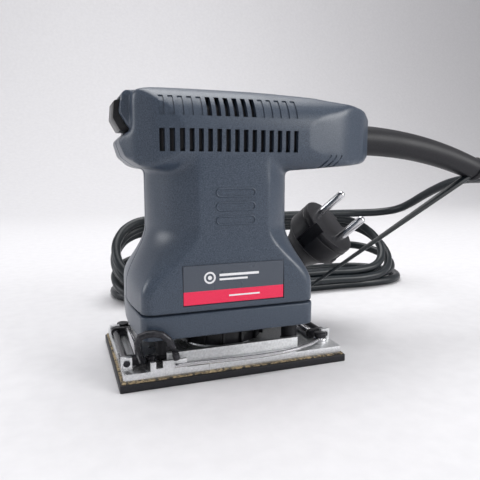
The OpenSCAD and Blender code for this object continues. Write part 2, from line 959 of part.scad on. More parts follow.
module rubber_pad() {
    color(black)
        slab(rounded(box_outline(-half_l, half_l, -half_w, half_w, 0.8)), 0, backing_z);
}

module pad_bearing_outer() {
    color(steel)
        translate([0, 0, pad_bearing_z])
            ring_race(1, pad_bearing_d, pad_ball_circle, pad_ball_d, pad_bearing_h, false);
}

eye_z = deck_z + 1;

module spring_screws() {
    color(black)
        for (a = [0, 180])
            rotate(a) {
                rod_z(3.1, eye_z + spring_d, eye_z + spring_d + 2.2, eye_x, eye_y);
                rod_z(1.55, deck_z - 2.4, eye_z + spring_d + 0.5, eye_x, eye_y);
            }
}

// Headed stop beside each roller, on a washer.
module stop_screws() {
    color(black)
        for (a = [0, 180])
            rotate(a) {
                rod_z(stop_r, deck_z, deck_z + 1, stop_x, stop_y);
                rod_z(stop_r - 0.6, deck_z + 0.9, deck_z + 2, stop_x, stop_y);
                rod_z(stop_r - 0.1, deck_z + 1.9, deck_z + 3.6, stop_x, stop_y);
                rod_z(1.15, deck_z - 2.4, deck_z + 0.5, stop_x, stop_y);
            }
}

// A wire eye under the screw head and a bowed run along the front of the platen to the lever's hook.
spring_run = [
    [43.8, -27.4], [38, -31.4], [30, -34.6], [20, -36.6], [8, -37.4], [-4, -37],
    [-14, -36.2], [-22, -35.6], [-31, -35.6]
];

module tension_spring() {
    z = eye_z + spring_d / 2;
    path = [for (p = spring_run) [p.x, p.y, z]];
    color(steel) {
        translate([eye_x, eye_y, z])
            rotate_extrude()
                translate([2.7, 0])
                    circle(d = spring_d, $fn = 24);
        sweep(concat([[eye_x - 1, eye_y - 2.6, z]], path), same(concat([0], path), spring_d / 2), 12);
    }
}

module pivot_bar() {
    color(black)
        rod_y(wire_d / 2, pivot_bar_x, pivot_bar_z, clamp_y0 - 2.4, clamp_y1 + 2.4);
}

frame_y0 = clamp_y0 + 0.4;
frame_y1 = clamp_y1 - 0.4;
frame_t = 2.6;

module clamp_frame() {
    color(black)
        for (y = [frame_y0, frame_y1 - frame_t])
            difference() {
                hull() {
                    rod_y(pivot_ring_r, pivot_bar_x, pivot_bar_z, y, y + frame_t);
                    rod_y(wire_d / 2 + 0.6, roller_x, roller_z, y, y + frame_t);
                }
                rod_y(wire_d / 2 + run, pivot_bar_x, pivot_bar_z, -far, far);
            }
}

module clamp_roller() {
    color(alloy) {
        rod_y(roller_d / 2, roller_x, roller_z, frame_y0 + frame_t, frame_y1 - frame_t);
        rod_y(0.9, roller_x, roller_z, frame_y0 + 0.4, frame_y1 - 0.4);
    }
}

// Arched finger lever: out of the frame, up and over in one bent bar, down to a hook over the spring.
lever_line = [
    [-44.6, 0.2, 10.1], [-44.8, -2.4, 11], [-46.2, -5.6, 16], [-47, -9, 21.4], [-46, -9.9, 24.4],
    [-43.2, -9.9, 25.2], [-40, -9.9, 25.2], [-36.6, -9.9, 24.2], [-33.9, -9.9, 21.7], [-32, -9.9, 18.2],
    [-30.9, -9.9, 14.8], [-30.3, -9.9, 12.5]
];

module clamp_lever() {
    lever_dx = roller_x + 44.6;
    reach = (frame_y0 - lever_y + lever_w / 2) / 9.9;
    path = [for (p = lever_line) [p.x + lever_dx, frame_y0 + p.y * (p.y < 0 ? reach : 1), p.z]];
    color(black)
        sweep(path, same(path, lever_w / 2), 16);
}

// ---- mains lead ------------------------------------------------------------------------------

module power_cord() {
    tip = guard_at(guard_a1);
    path = concat([tip, tip + 3 * [cos(guard_a1), 0, -sin(guard_a1)]], cord_route);
    color(black)
        sweep(path, same(path, cord_d / 2), 12);
}

module cord_coil() {
    hole = 20;
    color(black)
        intersection() {
            difference() {
                slab(rounded(box_outline(coil_x0, coil_x1, coil_y0, coil_y1, 39)), 0, 62);
                slab(rounded(box_outline(coil_x0 + hole, coil_x1 - hole, 108, 128, 9)), -1, 70);
            }
            along_x([
                [coil_y0 - 1, 0], [coil_y1 + 1, 0], [coil_y1 + 1, 7], [142, 55], [136, 60.4], [128, 60.4],
                [coil_y0 - 1, 18]
            ]);
        }
}

module plug_lead() {
    back = plug_face - plug_l * plug_axis;
    color(black)
        sweep(concat(lead_route, [back - 9 * plug_axis, back]), same(concat(lead_route, [0, 0]), cord_d / 2), 12);
}

module at_plug() {
    translate(plug_face)
        rotate([0, plug_tilt, plug_turn])
            children();
}

module plug_body() {
    color(black)
        at_plug()
            difference() {
                union() {
                    translate([0, 0, -16])
                        cylinder(d = plug_d, h = 16);
                    translate([0, 0, -24])
                        cylinder(d1 = 22, d2 = plug_d - 3, h = 8.2);
                    translate([0, 0, -38])
                        cylinder(d1 = 13, d2 = 22, h = 14.2);
                    translate([0, 0, -plug_l])
                        cylinder(d1 = cord_d + 1.6, d2 = 13, h = plug_l - 37.8);
                }
                for (side = [-1, 1])
                    translate([0, side * plug_d / 2, -7])
                        cube([5.6, 7, 20], center = true);
                for (x = [-pin_x, pin_x])
                    translate([x, 0, -pin_root_l])
                        cylinder(d = pin_root_d, h = 2 * pin_root_l);
            }
}

module plug_pins() {
    color(alloy)
        at_plug()
            for (x = [-pin_x, pin_x])
                translate([x, 0, 0]) {
                    translate([0, 0, -pin_root_l])
                        cylinder(d = pin_root_d, h = pin_root_l + 1);
                    cylinder(d = plug_pin_d, h = plug_pin_l - plug_pin_d / 2);
                    translate([0, 0, plug_pin_l - plug_pin_d / 2])
                        sphere(d = plug_pin_d);
                }
}

housing_front();
housing_back();
base_skirt();
bearing_carrier();
bearing_bridge();
front_label();
label_stripe();
rating_plate();
shell_screws();
skirt_screws();
field_core();
field_coils();
brush_plate();
brush_holders();
carbon_brushes();
motor_bearing_outers();
bearing_sleeve();
suppressor_capacitor();
switch_body();
switch_rocker();
cord_clamp();
cord_clamp_screws();
cord_guard();
inner_cord();
inner_leads();
rubber_legs();
leg_screws();
motor_shaft();
armature_core();
armature_windings();
commutator();
cooling_fan();
counterweight();
motor_bearing_inners();
pad_bearing_inner();
upper_ball_cage();
lower_ball_cage();
pad_ball_cage();
platen();
pad_bearing_outer();
pad_backing();
rubber_pad();
spring_screws();
stop_screws();
tension_spring();  // left_tension_spring
rotate(180) tension_spring();  // right_tension_spring
pivot_bar();  // left_pivot_bar
rotate(180) pivot_bar();  // right_pivot_bar
clamp_frame();  // left_clamp_frame
clamp_roller();  // left_clamp_roller
clamp_lever();  // left_clamp_lever
rotate(180) clamp_frame();  // right_clamp_frame
rotate(180) clamp_roller();  // right_clamp_roller
rotate(180) clamp_lever();  // right_clamp_lever
power_cord();
cord_coil();
plug_lead();
plug_body();
plug_pins();
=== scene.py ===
"""Small orbital sander: finished shells, lead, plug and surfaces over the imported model.

Millimetres are written out in full and turned into metres by mm(). X runs along the grip to the lead,
-Y is the labelled front, Z is up from the sanding face.
"""
import json
import math

import bpy
from mathutils import Matrix, Vector


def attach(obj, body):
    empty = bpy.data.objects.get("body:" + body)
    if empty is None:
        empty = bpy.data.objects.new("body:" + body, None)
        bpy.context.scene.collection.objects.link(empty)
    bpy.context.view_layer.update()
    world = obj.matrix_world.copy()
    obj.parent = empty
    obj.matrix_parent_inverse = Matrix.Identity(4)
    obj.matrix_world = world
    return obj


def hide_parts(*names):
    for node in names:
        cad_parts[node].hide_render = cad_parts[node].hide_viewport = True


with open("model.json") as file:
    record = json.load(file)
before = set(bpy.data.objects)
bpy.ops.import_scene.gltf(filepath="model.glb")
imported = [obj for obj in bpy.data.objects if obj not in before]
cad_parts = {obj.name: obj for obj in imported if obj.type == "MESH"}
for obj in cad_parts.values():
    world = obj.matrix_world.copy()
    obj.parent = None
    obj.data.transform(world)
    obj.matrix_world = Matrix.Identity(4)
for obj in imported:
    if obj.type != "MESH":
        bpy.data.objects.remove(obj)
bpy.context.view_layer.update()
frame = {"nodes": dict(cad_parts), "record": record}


# ---- bench tools -----------------------------------------------------------------------------

def mm(*values):
    """A point, or one length, from millimetres to metres."""
    return values[0] / 1000 if len(values) == 1 else Vector(values) / 1000


def only(piece):
    """Selects this piece and nothing else, and makes it the active one."""
    bpy.ops.object.select_all(action="DESELECT")
    piece.select_set(True)
    bpy.context.view_layer.objects.active = piece
    return piece


def edit_all(piece):
    """Opens a piece in edit mode with all of it selected."""
    only(piece)
    bpy.ops.object.mode_set(mode="EDIT")
    bpy.ops.mesh.select_all(action="SELECT")


def done():
    bpy.ops.object.mode_set(mode="OBJECT")


def fresh(name):
    """Names the piece that an operator has just added."""
    piece = bpy.context.active_object
    piece.name = name
    piece.data.name = name
    return piece


def settle(piece):
    """Puts a piece's place into its mesh, so that its object sits at the origin."""
    only(piece)
    bpy.ops.object.transform_apply(location=True, rotation=True, scale=True)
    return piece


def modify(piece, kind, **settings):
    """Adds a modifier with these settings and applies it at once."""
    only(piece)
    tool = piece.modifiers.new(kind.title(), kind)
    for key, value in settings.items():
        setattr(tool, key, value)
    bpy.ops.object.modifier_apply(modifier=tool.name)
    return piece


def combine(piece, others, how):
    """Joins to, cuts from or keeps in common with piece each of the others, which are used up."""
    for other in others:
        modify(piece, "BOOLEAN", object=other, operation=how, solver="EXACT")
        bpy.data.objects.remove(other)
    return piece


def join(pieces):
    bpy.ops.object.select_all(action="DESELECT")
    for piece in pieces:
        piece.select_set(True)
    bpy.context.view_layer.objects.active = pieces[0]
    bpy.ops.object.join()
    return bpy.context.active_object


def smooth(piece, angle=35):
    only(piece)
    bpy.ops.object.shade_smooth_by_angle(angle=math.radians(angle), keep_sharp_edges=False)
    return piece


def block(name, low, high):
    """A box between two corners in millimetres."""
    bpy.ops.mesh.primitive_cube_add(size=1)
    piece = fresh(name)
    edit_all(piece)
    bpy.ops.transform.resize(value=(mm(*high) - mm(*low)))
    bpy.ops.transform.translate(value=(mm(*high) + mm(*low)) / 2)
    done()
    return piece


def rod(name, centre, radius, length, turn=(0, 0, 0), sides=48):
    """A round bar in millimetres, standing on its centre and turned by degrees."""
    bpy.ops.mesh.primitive_cylinder_add(
        vertices=sides, radius=mm(radius), depth=mm(length), location=mm(*centre),
        rotation=[math.radians(a) for a in turn],
    )
    return settle(fresh(name))


# ---- outlines --------------------------------------------------------------------------------

def cross(a, b):
    return a.x * b.y - a.y * b.x


def rounded(corners, steps=8):
    """The points of an outline whose corners are (u, v, radius)."""
    flat = [Vector(c[:2]) for c in corners]
    points = []
    for i, here in enumerate(flat):
        radius = corners[i][2]
        if radius <= 0:
            points.append(here)
            continue
        before, after = flat[i - 1], flat[(i + 1) % len(flat)]
        to_before, to_after = (before - here).normalized(), (after - here).normalized()
        half = math.acos(max(-1, min(1, to_before.dot(to_after)))) / 2
        reach = min(radius / math.tan(half), 0.49 * (before - here).length, 0.49 * (after - here).length)
        radius = reach * math.tan(half)
        middle = here + (to_before + to_after).normalized() * radius / math.sin(half)
        start = here + to_before * reach - middle
        end = here + to_after * reach - middle
        turn = math.atan2(cross(start, end), start.dot(end))
        first = math.atan2(start.y, start.x)
        for k in range(steps + 1):
            a = first + turn * k / steps
            points.append(middle + radius * Vector((math.cos(a), math.sin(a))))
    return points


def shrunk(corners, by):
    """An anticlockwise outline with its edges moved inwards."""
    flat = [Vector(c[:2]) for c in corners]
    moved = []
    for i, here in enumerate(flat):
        into = (here - flat[i - 1]).normalized()
        out = (flat[(i + 1) % len(flat)] - here).normalized()
        mitre = Vector((-into.y - out.y, into.x + out.x)) / (1 + into.dot(out))
        side = 1 if cross(into, out) > 0 else -1
        radius = corners[i][2]
        eased_radius = max(radius - side * by, 0.4) if radius else 0
        moved.append((here.x + by * mitre.x, here.y + by * mitre.y, eased_radius))
    return moved


def both_sides(half):
    """An outline from its right half, mirrored about u = 0."""
    return half + [(-u, v, r) for u, v, r in reversed(half)]


def prism(name, corners, plane, low, high, steps=8):
    """An outline in the xz, yz or xy plane, drawn out along the third axis."""
    places = {
        "xz": lambda u, v, w: mm(u, w, v),
        "yz": lambda u, v, w: mm(w, u, v),
        "xy": lambda u, v, w: mm(u, v, w),
    }
    points = rounded(corners, steps)
    place = places[plane]
    bpy.ops.mesh.primitive_circle_add(vertices=len(points), radius=1, fill_type="NGON")
    piece = fresh(name)
    for vertex, point in zip(piece.data.vertices, points):
        vertex.co = place(point.x, point.y, low)
    edit_all(piece)
    bpy.ops.mesh.extrude_region_move(
        TRANSFORM_OT_translate={"value": place(0, 0, high) - place(0, 0, low)}
    )
    bpy.ops.mesh.select_all(action="SELECT")
    bpy.ops.mesh.normals_make_consistent(inside=False)
    done()
    return piece


# ---- camera, room and light ------------------------------------------------------------------

bpy.ops.object.camera_add(
    location=mm(-74.7, -239.8, 94.5),
    rotation=[math.radians(a) for a in (81.9, 0, -19.9)],
)
camera = bpy.context.active_object
camera.data.sensor_width = 36
camera.data.lens = 37.05
camera.data.clip_start = 0.01
bpy.context.scene.camera = camera
bpy.context.scene.view_settings.view_transform = "Standard"


def lamp(name, spot, aim, size, power, tint=(1, 1, 1)):
    """A round soft lamp at a spot, in metres, turned to face its aim."""
    bpy.ops.object.light_add(type="AREA", location=spot)
    light = fresh(name)
    light.data.shape = "DISK"
    light.data.size = size
    light.data.energy = power
    light.data.color = tint
    light.rotation_euler = (Vector(aim) - Vector(spot)).to_track_quat("-Z", "Y").to_euler()


lamp("overhead_softbox", (0.10, 0.20, 1.25), (0.05, 0.05, 0.05), 1.2, 13)
lamp("front_right_softbox", (0.95, -0.85, 0.55), (0.0, 0.0, 0.07), 0.7, 10)
lamp("left_edge_light", (-1.1, 0.35, 0.45), (0.0, 0.0, 0.07), 0.5, 3.5, (0.95, 0.97, 1))
lamp("backdrop_light", (0.2, 0.55, 1.5), (0.2, 1.8, 0.5), 1.0, 5.5)

world = bpy.context.scene.world or bpy.data.worlds.new("room")
bpy.context.scene.world = world
world.use_nodes = True
world.node_tree.nodes["Background"].inputs["Color"].default_value = (0.88, 0.87, 0.89, 1)
world.node_tree.nodes["Background"].inputs["Strength"].default_value = 0.52

bpy.ops.mesh.primitive_plane_add(size=2, location=(0, 0, 0))
floor = fresh("floor")
edit_all(floor)
bpy.ops.transform.resize(value=(4, 4, 1))
bpy.ops.mesh.select_all(action="DESELECT")
done()
for vertex in floor.data.vertices:
    vertex.select = vertex.co.y > 3.9
for edge in floor.data.edges:
    edge.select = all(floor.data.vertices[index].select for index in edge.vertices)
bpy.ops.object.mode_set(mode="EDIT")
bpy.ops.transform.translate(value=(0, -2.4, 0))
bpy.ops.mesh.extrude_region_move(TRANSFORM_OT_translate={"value": (0, 0, 3)})
done()
modify(floor, "BEVEL", width=0.8, segments=16, limit_method="ANGLE", profile=0.5)
smooth(floor, 60)


# ---- surfaces --------------------------------------------------------------------------------

def surface(name, colour, other, rough, metal=0.0, grain=900, speck=0.35, bump=0.08, depth=0.05,
            stretch=(1, 1, 1), soil=0.06, coat=0.0, sheen=0.5):
    """A finish with fine grain, slow changes of gloss and colour, and a bump of its own.

    grain is in grains a metre, depth in millimetres, soil how far the gloss wanders.
    """
    finish = bpy.data.materials.new(name)
    finish.use_nodes = True
    nodes, links = finish.node_tree.nodes, finish.node_tree.links
    shader = nodes["Principled BSDF"]
    shader.inputs["Metallic"].default_value = metal
    shader.inputs["Coat Weight"].default_value = coat
    shader.inputs["Specular IOR Level"].default_value = sheen
    where = nodes.new("ShaderNodeTexCoord")
    lie = nodes.new("ShaderNodeMapping")
    lie.inputs["Scale"].default_value = stretch
    links.new(where.outputs["Object"], lie.inputs["Vector"])

    fine = nodes.new("ShaderNodeTexNoise")
    fine.inputs["Scale"].default_value = grain
    fine.inputs["Detail"].default_value = 3
    links.new(lie.outputs["Vector"], fine.inputs["Vector"])
    slow = nodes.new("ShaderNodeTexNoise")
    slow.inputs["Scale"].default_value = 28
    slow.inputs["Detail"].default_value = 4
    links.new(where.outputs["Object"], slow.inputs["Vector"])

    tint = nodes.new("ShaderNodeValToRGB")
    tint.color_ramp.elements[0].position = 0.5 - speck / 2
    tint.color_ramp.elements[0].color = (*colour, 1)
    tint.color_ramp.elements[1].position = 0.5 + speck / 2
    tint.color_ramp.elements[1].color = (*other, 1)
    links.new(fine.outputs["Fac"], tint.inputs["Fac"])
    links.new(tint.outputs["Color"], shader.inputs["Base Color"])

    gloss = nodes.new("ShaderNodeMapRange")
    gloss.inputs["From Min"].default_value = 0.3
    gloss.inputs["From Max"].default_value = 0.7
    gloss.inputs["To Min"].default_value = max(rough - soil, 0.02)
    gloss.inputs["To Max"].default_value = min(rough + soil, 1)
    links.new(slow.outputs["Fac"], gloss.inputs["Value"])
    links.new(gloss.outputs["Result"], shader.inputs["Roughness"])

    relief = nodes.new("ShaderNodeBump")
    relief.inputs["Strength"].default_value = bump
    relief.inputs["Distance"].default_value = mm(depth)
    links.new(fine.outputs["Fac"], relief.inputs["Height"])
    links.new(relief.outputs["Normal"], shader.inputs["Normal"])
    return finish


finishes = {
    "slate_plastic": surface("slate_moulding", (0.024, 0.037, 0.058), (0.062, 0.082, 0.116), 0.35,
                             grain=2300, speck=0.34, bump=0.30, depth=0.035, soil=0.04),
    "black_plastic": surface("black_moulding", (0.006, 0.006, 0.008), (0.013, 0.013, 0.016), 0.34,
                             grain=2200, bump=0.25, depth=0.03, sheen=0.35),
    "black_rubber": surface("black_rubber", (0.008, 0.008, 0.010), (0.017, 0.017, 0.021), 0.46,
                            grain=1500, bump=0.3, depth=0.05, sheen=0.32),
    "cord_rubber": surface("lead_sheath", (0.006, 0.009, 0.012), (0.012, 0.017, 0.021), 0.36,
                           grain=500, bump=0.12, depth=0.05, sheen=0.38),
    "steel": surface("plain_steel", (0.42, 0.43, 0.45), (0.52, 0.53, 0.55), 0.34, metal=1,
                     grain=1300, bump=0.12, depth=0.02),
    "bright_steel": surface("bright_plating", (0.62, 0.62, 0.64), (0.72, 0.72, 0.74), 0.20, metal=1,
                            grain=900, bump=0.08, depth=0.02, stretch=(1, 0.15, 1)),
    "black_steel": surface("blacked_steel", (0.010, 0.010, 0.013), (0.034, 0.034, 0.040), 0.27,
                           metal=0.45, grain=1100, bump=0.18, depth=0.04),
    "aluminium": surface("cast_aluminium", (0.56, 0.57, 0.58), (0.78, 0.79, 0.80), 0.33, metal=0.92,
                         grain=1100, speck=0.5, bump=0.35, depth=0.05, soil=0.12),
    "copper": surface("wound_copper", (0.48, 0.18, 0.07), (0.66, 0.28, 0.12), 0.36, metal=0.9,
                      grain=700, bump=0.5, depth=0.12, stretch=(1, 1, 6)),
    "brass": surface("sheet_brass", (0.60, 0.44, 0.16), (0.70, 0.53, 0.22), 0.34, metal=1),
    "carbon": surface("carbon", (0.02, 0.02, 0.022), (0.05, 0.05, 0.052), 0.6, grain=2500),
    "insulation": surface("brown_laminate", (0.12, 0.05, 0.02), (0.19, 0.09, 0.035), 0.55,
                          grain=600, stretch=(0.2, 1, 1)),
    "fan_plastic": surface("pale_nylon", (0.55, 0.56, 0.57), (0.66, 0.67, 0.68), 0.45),
    "capacitor_film": surface("yellow_film", (0.62, 0.45, 0.05), (0.70, 0.52, 0.08), 0.28),
    "label_grey": surface("label_grey", (0.048, 0.060, 0.082), (0.056, 0.069, 0.093), 0.30,
                          grain=1800, bump=0.04, depth=0.01, coat=0.3),
    "label_red": surface("label_red", (0.80, 0.004, 0.062), (0.86, 0.006, 0.078), 0.33,
                         grain=1800, bump=0.04, depth=0.01, coat=0.3),
    "label_silver": surface("label_silver", (0.45, 0.46, 0.48), (0.52, 0.53, 0.55), 0.38, metal=0.8,
                            stretch=(0.05, 1, 1)),
    "bonding_layer": surface("tan_bonding", (0.030, 0.028, 0.026), (0.40, 0.31, 0.18), 0.85,
                             grain=700, speck=0.22, bump=0.6, depth=0.15),
    "lead_insulation": surface("wire_insulation", (0.03, 0.09, 0.42), (0.05, 0.12, 0.50), 0.4),
}
pale_paint = surface("label_print", (0.80, 0.80, 0.82), (0.86, 0.86, 0.88), 0.4, grain=1800, bump=0.02)
floor_paper = surface("floor_paper", (0.66, 0.655, 0.67), (0.69, 0.685, 0.70), 0.85, grain=120, bump=0.02)
floor.data.materials.append(floor_paper)

slot_of = {part["node"]: part["material_slot"] for part in frame["record"]["subparts"]}


def dress(piece, slot, finish=None):
    """Gives a piece the finish of a record slot, or one of its own in that slot."""
    piece.data.materials.clear()
    piece.data.materials.append(finish or finishes[slot])
    return piece


for name, node in frame["nodes"].items():
    node.data.materials.clear()
    node.data.materials.append(finishes[slot_of[name]])


# ---- mains lead ------------------------------------------------------------------------------
# The routes repeat the lead's points in the part's source.

cord_d = 6.6
guard_r = 250.0
guard_start = Vector((80, 0, 110.54))
guard_slope = (0.62, 21)


def guard_at(angle):
    """The guard's centreline where it has bent down by an angle in degrees."""
    a, first = math.radians(angle), math.radians(guard_slope[0])
    return Vector((
        guard_start.x + guard_r * (math.sin(a) - math.sin(first)), 0,
        guard_start.z + guard_r * (math.cos(a) - math.cos(first)),
    ))


guard_end = guard_at(guard_slope[1])

lead_to_hank = [
    (173, 1, 91.7), (184, 5, 89.5), (195, 12.5, 88.5), (204, 24, 88.2), (209, 38, 88.2), (209, 52, 87.4),
    (206.5, 64, 84.6), (204, 76, 79.6), (201.5, 88, 73.4), (199, 99, 67), (195.5, 110, 61.6),
    (187, 121, 58.4), (172, 129, 57.2), (150, 132.5, 57), (120, 133, 57), (80, 133, 57),
]
hank_to_plug = [
    (10, 103, 3.5), (24, 101, 3.7), (34, 95, 5), (41, 86, 7.7), (45.5, 75, 11.2), (47.5, 64.5, 15.6),
]
plug_face = Vector((77, 20, 61.5))
plug_turn = Matrix.Rotation(math.radians(-52), 3, "Z") @ Matrix.Rotation(math.radians(48.6), 3, "Y")
plug_axis = plug_turn @ Vector((0, 0, 1))
plug_length = 52

# Each turn of the hank, top first: its strand towards the sander and its strand away from it, as (y, z).
hank_turns = [
    ((96.4, 14.7), (133, 57)), ((93.1, 9.0), (140, 51.5)), ((99.7, 9.0), (146.8, 46)),
    ((96.4, 3.5), (152, 26)), ((103, 3.5), (163, 3.5)),
]
hank_left = -39.7
hank_right = (182.0, 189.0, 196.0, 203.0)


def half_loop(start, end, edge, bulge, steps=6):
    """Points round one end of the hank, out to edge, from one strand to the next."""
    start, end = Vector((0, *start)), Vector((0, *end))
    middle, arm = (start + end) / 2, (start - end) / 2
    radius = arm.length
    x = edge - bulge * radius
    return [
        Vector((x + bulge * radius * math.sin(a), 0, 0)) + middle + arm * math.cos(a)
        for a in (math.pi * k / steps for k in range(steps + 1))
    ]


def strand(near, x0, x1, count=4):
    """Points between two ends of a straight run at one (y, z)."""
    return [Vector((x0 + (x1 - x0) * k / (count + 1), *near)) for k in range(1, count + 1)]


def hank():
    """Every turn of the hank in order, down to where the lead leaves it for the plug."""
    points = []
    at = lead_to_hank[-1][0]
    for i, (near, away) in enumerate(hank_turns):
        left = half_loop(away, near, hank_left, -1)
        points += strand(away, at, left[0].x) + left
        if i + 1 < len(hank_turns):
            right = half_loop(near, hank_turns[i + 1][1], hank_right[i], 1)
            points += strand(near, left[-1].x, right[0].x) + right
            at = right[-1].x
        else:
            points += strand(near, left[-1].x, hank_to_plug[0][0], 1)
    return points


def soft_curve(name, points, radius, radii=None, sides=4):
    """A round bar along a smooth line through points in millimetres."""
    data = bpy.data.curves.new(name, "CURVE")
    data.dimensions = "3D"
    data.bevel_depth = mm(radius)
    data.bevel_resolution = sides
    data.resolution_u = 5
    data.use_fill_caps = True
    line = data.splines.new("BEZIER")
    line.bezier_points.add(len(points) - 1)
    for i, (knot, point) in enumerate(zip(line.bezier_points, points)):
        knot.co = mm(*point)
        knot.handle_left_type = knot.handle_right_type = "AUTO"
        knot.radius = radii[i] if radii else 1
    piece = bpy.data.objects.new(name, data)
    bpy.context.collection.objects.link(piece)
    return piece


plug_back = plug_face - plug_length * plug_axis
exit_turn = math.radians(guard_slope[1])
route = [guard_end, guard_end + 3 * Vector((math.cos(exit_turn), 0, -math.sin(exit_turn)))]
route += [Vector(p) for p in lead_to_hank] + hank() + [Vector(p) for p in hank_to_plug]
route += [plug_back - 9 * plug_axis, plug_back]
mains_lead = soft_curve("mains_lead", route, cord_d / 2)
mains_lead.data.materials.append(finishes["cord_rubber"])
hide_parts("power_cord", "cord_coil", "plug_lead")
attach(mains_lead, "housing")


# ---- plug ------------------------------------------------------------------------------------

def turned(name, rings, sides=96):
    """A solid lofted through rings of (height, radius), from the bottom up."""
    bpy.ops.mesh.primitive_circle_add(vertices=sides, radius=mm(rings[0][1]), fill_type="NGON",
                                      location=mm(0, 0, rings[0][0]))
    piece = settle(fresh(name))
    edit_all(piece)
    for (z0, r0), (z1, r1) in zip(rings, rings[1:]):
        bpy.ops.mesh.extrude_region_move(TRANSFORM_OT_translate={"value": mm(0, 0, z1 - z0)})
        if r1 != r0:
            bpy.ops.transform.resize(value=(r1 / r0, r1 / r0, 1), center_override=mm(0, 0, z1))
    bpy.ops.mesh.select_all(action="SELECT")
    bpy.ops.mesh.normals_make_consistent(inside=False)
    done()
    return piece


def to_plug(piece):
    """Moves a part turned about Z to the plug's own place and slant."""
    piece.matrix_world = Matrix.Translation(plug_face / 1000) @ plug_turn.to_4x4()
    return settle(piece)


face_r = 18.5
pin_r, pin_gap = 2.4, 19


def plug():
    body = turned("plug_shell", [
        (-16, face_r - 1.6), (-15.2, face_r - 0.4), (-14.2, face_r), (-4.4, face_r), (-4.0, face_r - 0.5),
        (-3.4, face_r - 0.5), (-3.0, face_r), (-1.2, face_r), (-0.4, face_r - 0.4), (0, face_r - 1.3),
    ])
    notches = [
        block("notch", (-3.4, side * face_r - 3.6, -30), (3.4, side * face_r + 3.6, 3)) for side in (-1, 1)
    ]
    notches += [
        block("flat", (side * face_r - 1.4, -5.5, -12), (side * face_r + 3, 5.5, -6)) for side in (-1, 1)
    ]
    combine(body, notches, "DIFFERENCE")
    modify(body, "BEVEL", width=mm(0.5), segments=2, limit_method="ANGLE", angle_limit=math.radians(50))
    neck = turned("plug_neck", [
        (-38.5, 6.4), (-36.5, 7.6), (-31, 9.6), (-25, 11.8), (-21, 13.6), (-18, 15.6), (-15.5, 16.4),
    ])
    grips = [rod("grip_groove", (side * 15.4, 0, z), 1.1, 16, (90, 0, 0), 16)
             for side in (-1, 1) for z in (-19.5, -23)]
    combine(neck, grips, "DIFFERENCE")
    relief = turned("plug_relief", [(-52, 4.2), (-51.2, 4.7)] + [
        ring for k in range(6) for ring in (
            (-50.4 + 2 * k, 4.8 + 0.28 * k), (-49.7 + 2 * k, 4.8 + 0.28 * k),
            (-49.4 + 2 * k, 4.0 + 0.28 * k), (-48.7 + 2 * k, 4.0 + 0.28 * k))
    ] + [(-38.2, 6.3), (-37, 6.4)], 48)
    parts = [smooth(to_plug(part), 32) for part in (body, neck, relief)]
    shell = join(parts)
    shell.name = "plug_shell"
    return shell


plug_shell = dress(plug(), "black_rubber")
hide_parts("plug_body")
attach(plug_shell, "housing")


def plug_pins():
    pins = []
    for side in (-1, 1):
        pin = turned("pin", [
            (-1, pin_r), (0.6, pin_r), (15.2, pin_r), (17.4, 2.3), (18.3, 1.9), (18.8, 1.2), (19, 0.5),
        ], 48)
        edit_all(pin)
        bpy.ops.transform.translate(value=mm(side * pin_gap / 2, 0, 0))
        done()
        pins.append(smooth(to_plug(pin), 40))
    return join(pins)


pins = dress(plug_pins(), "bright_steel")
pins.name = "plug_prongs"
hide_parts("plug_pins")
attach(pins, "housing")


# ---- cord guard ------------------------------------------------------------------------------

guard_root_r, guard_taper = 8.2, 1.6


def cord_guard():
    """The tapered sleeve with a collar at its root and a rolled lip at its tip."""
    steps = 12
    slopes = [guard_slope[0] + (guard_slope[1] - guard_slope[0]) * k / steps for k in range(steps + 1)]
    line = [Vector((74, 0, guard_start.z))] + [guard_at(a) for a in slopes]
    radii = [guard_root_r] + [guard_root_r - guard_taper * k / steps for k in range(steps + 1)]
    sleeve = soft_curve("guard", line, 1, radii, 10)
    only(sleeve)
    bpy.ops.object.convert(target="MESH")
    sleeve = bpy.context.active_object
    lip = turned("lip", [(-3.6, 6.5), (-3.3, 7.3), (-2.9, 7.55), (-0.9, 7.55), (-0.3, 7.3), (0.1, 6.6)], 64)
    lip.matrix_world = Matrix.Translation(guard_end / 1000) @ Matrix.Rotation(math.pi / 2 + exit_turn, 4, "Y")
    settle(lip)
    ring = rod("collar", (74.2, 0, guard_start.z), guard_root_r + 1, 1.6, (0, 90, 0), 64)
    return join([smooth(part, 40) for part in (sleeve, lip, ring)])


guard = dress(cord_guard(), "black_rubber")
guard.name = "bending_guard"
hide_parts("cord_guard")
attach(guard, "housing")


# ---- housing shells --------------------------------------------------------------------------

wall = 2.6
column_x, column_r, column_flat, base_half = -1.4, 35.2, 31.0, 33.0
axis_x = -0.75
base_z, skirt_z, groove = 31.8, 20.2, 0.8
window = ((-54, -10.6, 111.2), (-36, 10.6, 126.6))
slot_first, slot_last, slot_count, slot_width = -34.3, 29.3, 16, 2.2
upper_open = range(5, 11)
upper_low, upper_high = 117.5, 125.9
boss_spots = [(-21.5, 124), (22, 123.5), (68, 120.2), (48, 101.6), (-38, 49.5), (29.3, 47.5)]

